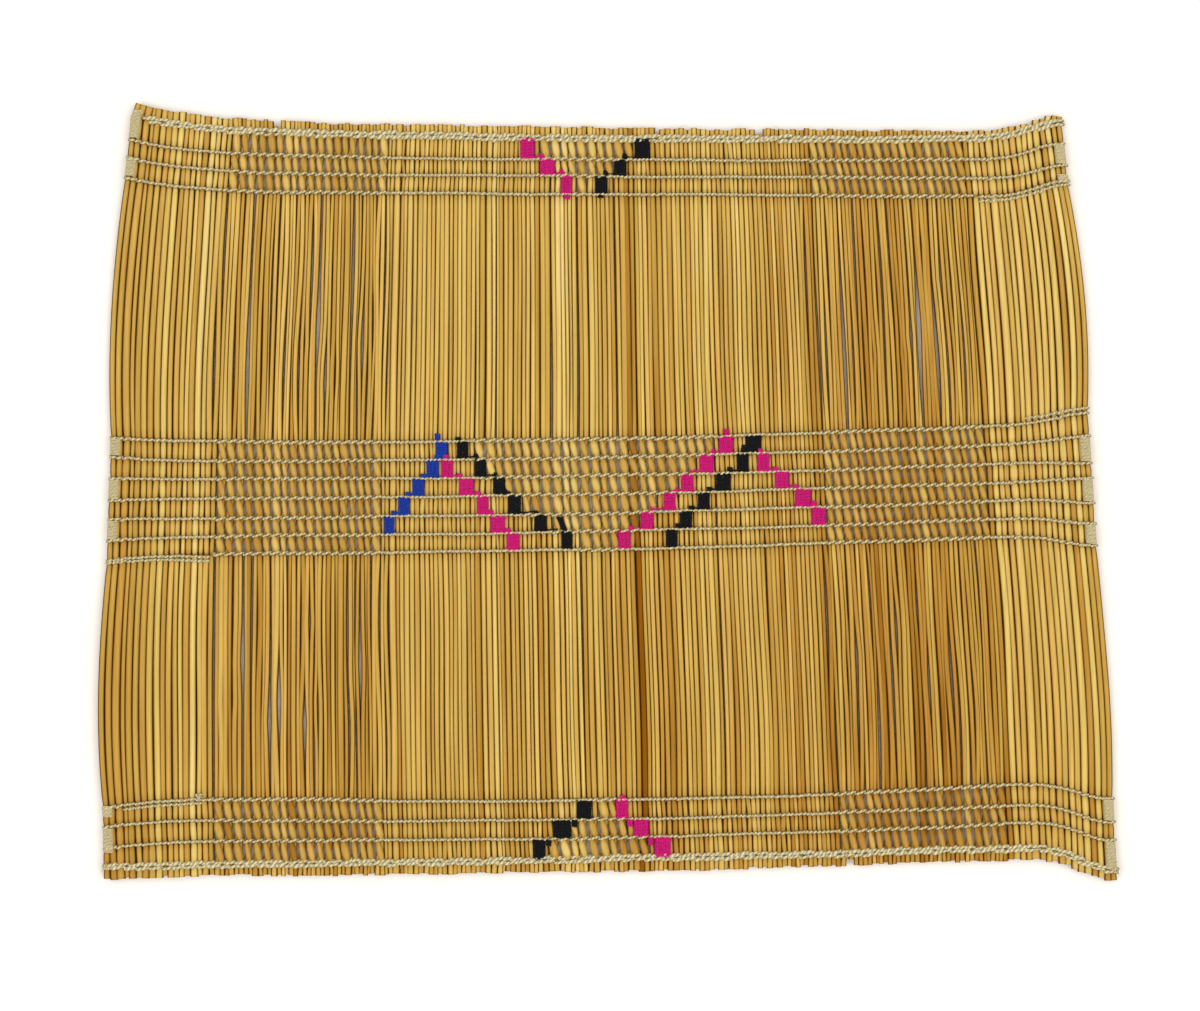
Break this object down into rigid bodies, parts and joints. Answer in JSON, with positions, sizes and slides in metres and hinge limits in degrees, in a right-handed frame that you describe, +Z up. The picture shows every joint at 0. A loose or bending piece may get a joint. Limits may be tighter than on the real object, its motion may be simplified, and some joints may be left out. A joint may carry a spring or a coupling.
{
  "type": "placemat",
  "caption": "Flat twined placemat of straw-coloured rush stems, bound by rows of pale cord, with stepped chains of pink, black and blue yarn blocks.",
  "frame": {"origin": "middle of the mat's whole length and width, on the table", "axes": "+X along the rows of cord, +Y along the stems towards the end with the pink and black V, +Z up from the table"},
  "size_m": [0.451, 0.3418, 0.0045],
  "materials": {
    "rush_straw": "dried rush stems, golden straw, slight natural gloss",
    "twining_cord": "matt two-strand plant fibre cord",
    "pink_yarn": "matt fuzzy yarn",
    "black_yarn": "matt fuzzy yarn",
    "blue_yarn": "matt fuzzy yarn"
  },
  "bodies": {
    "root": {"stem_sheet": "rush_straw", "top_braid": "twining_cord", "top_twining": "twining_cord", "middle_twining": "twining_cord", "bottom_twining": "twining_cord", "bottom_braid": "twining_cord", "blue_chain": "blue_yarn", "pink_chain_left": "pink_yarn", "black_chain_left": "black_yarn", "pink_chain_right": "pink_yarn", "black_chain_right": "black_yarn", "pink_chain_outer": "pink_yarn", "pink_chain_top": "pink_yarn", "black_chain_top": "black_yarn", "black_chain_bottom": "black_yarn", "pink_chain_bottom": "pink_yarn"}
  },
  "joints": []
}
